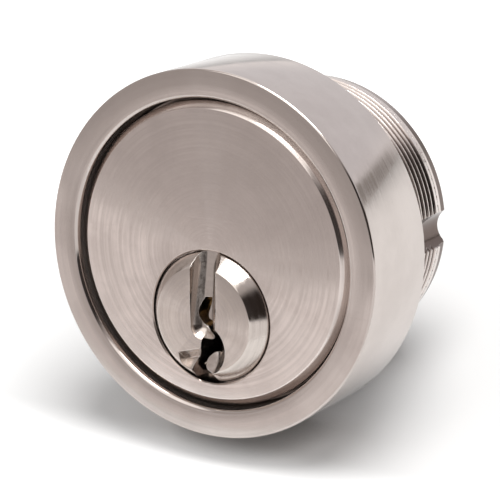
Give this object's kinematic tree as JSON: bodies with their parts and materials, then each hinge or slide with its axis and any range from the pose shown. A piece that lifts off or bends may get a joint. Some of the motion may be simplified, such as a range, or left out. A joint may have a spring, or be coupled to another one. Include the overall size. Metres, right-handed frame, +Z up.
{
  "type": "mortise cylinder",
  "caption": "Threaded mortise lock cylinder with a wide trim collar, a keyed plug below centre, pin stacks and a rear cam.",
  "frame": {"origin": "on the axis of the threaded barrel, in the plane of the collar's back face, which meets the door", "axes": "-Y is forward, out of the door, towards the key; +Z is up, with the pin stacks above the plug; +X is to the right when seen from the key side"},
  "size_m": [0.037, 0.0284, 0.037],
  "materials": {
    "nickel_plate": "nickel-plated brass, fine turned satin with polished bevels",
    "brass": "bare turned brass",
    "pin_steel": "turned steel",
    "spring_steel": "drawn spring wire",
    "screw_steel": "zinc-plated steel"
  },
  "bodies": {
    "housing": {"cylinder_body": "nickel_plate", "chamber_cap_1": "brass", "chamber_cap_2": "brass", "chamber_cap_3": "brass", "chamber_cap_4": "brass", "chamber_cap_5": "brass", "pin_spring_1": "spring_steel", "pin_spring_2": "spring_steel", "pin_spring_3": "spring_steel", "pin_spring_4": "spring_steel", "pin_spring_5": "spring_steel"},
    "collar": {"collar": "nickel_plate"},
    "plug": {"plug": "nickel_plate", "cam": "nickel_plate", "cam_screw_1": "screw_steel", "cam_screw_2": "screw_steel"},
    "key_pin_1": {"key_pin_1": "brass"},
    "driver_pin_1": {"driver_pin_1": "pin_steel"},
    "key_pin_2": {"key_pin_2": "brass"},
    "driver_pin_2": {"driver_pin_2": "pin_steel"},
    "key_pin_3": {"key_pin_3": "brass"},
    "driver_pin_3": {"driver_pin_3": "pin_steel"},
    "key_pin_4": {"key_pin_4": "brass"},
    "driver_pin_4": {"driver_pin_4": "pin_steel"},
    "key_pin_5": {"key_pin_5": "brass"},
    "driver_pin_5": {"driver_pin_5": "pin_steel"}
  },
  "joints": [
    {"name": "plug_turn", "type": "hinge", "parent": "housing", "child": "plug", "pos_m": [0, 0, -0.0063], "axis": [0, -1, 0], "continuous": true},
    {"name": "collar_spin", "type": "hinge", "parent": "housing", "child": "collar", "pos_m": [0, 0, 0], "axis": [0, -1, 0], "continuous": true},
    {"name": "key_pin_1_lift", "type": "slide", "parent": "plug", "child": "key_pin_1", "axis": [0, 0, 1], "range_m": [0, 0.0016]},
    {"name": "driver_pin_1_lift", "type": "slide", "parent": "housing", "child": "driver_pin_1", "axis": [0, 0, 1], "range_m": [0, 0.003], "stiffness_N_per_m": 80, "deforming": ["pin_spring_1"]},
    {"name": "key_pin_2_lift", "type": "slide", "parent": "plug", "child": "key_pin_2", "axis": [0, 0, 1], "range_m": [0, 0.0024]},
    {"name": "driver_pin_2_lift", "type": "slide", "parent": "housing", "child": "driver_pin_2", "axis": [0, 0, 1], "range_m": [0, 0.003], "stiffness_N_per_m": 80, "deforming": ["pin_spring_2"]},
    {"name": "key_pin_3_lift", "type": "slide", "parent": "plug", "child": "key_pin_3", "axis": [0, 0, 1], "range_m": [0, 0.0012]},
    {"name": "driver_pin_3_lift", "type": "slide", "parent": "housing", "child": "driver_pin_3", "axis": [0, 0, 1], "range_m": [0, 0.003], "stiffness_N_per_m": 80, "deforming": ["pin_spring_3"]},
    {"name": "key_pin_4_lift", "type": "slide", "parent": "plug", "child": "key_pin_4", "axis": [0, 0, 1], "range_m": [0, 0.002]},
    {"name": "driver_pin_4_lift", "type": "slide", "parent": "housing", "child": "driver_pin_4", "axis": [0, 0, 1], "range_m": [0, 0.003], "stiffness_N_per_m": 80, "deforming": ["pin_spring_4"]},
    {"name": "key_pin_5_lift", "type": "slide", "parent": "plug", "child": "key_pin_5", "axis": [0, 0, 1], "range_m": [0, 0.0016]},
    {"name": "driver_pin_5_lift", "type": "slide", "parent": "housing", "child": "driver_pin_5", "axis": [0, 0, 1], "range_m": [0, 0.003], "stiffness_N_per_m": 80, "deforming": ["pin_spring_5"]}
  ]
}
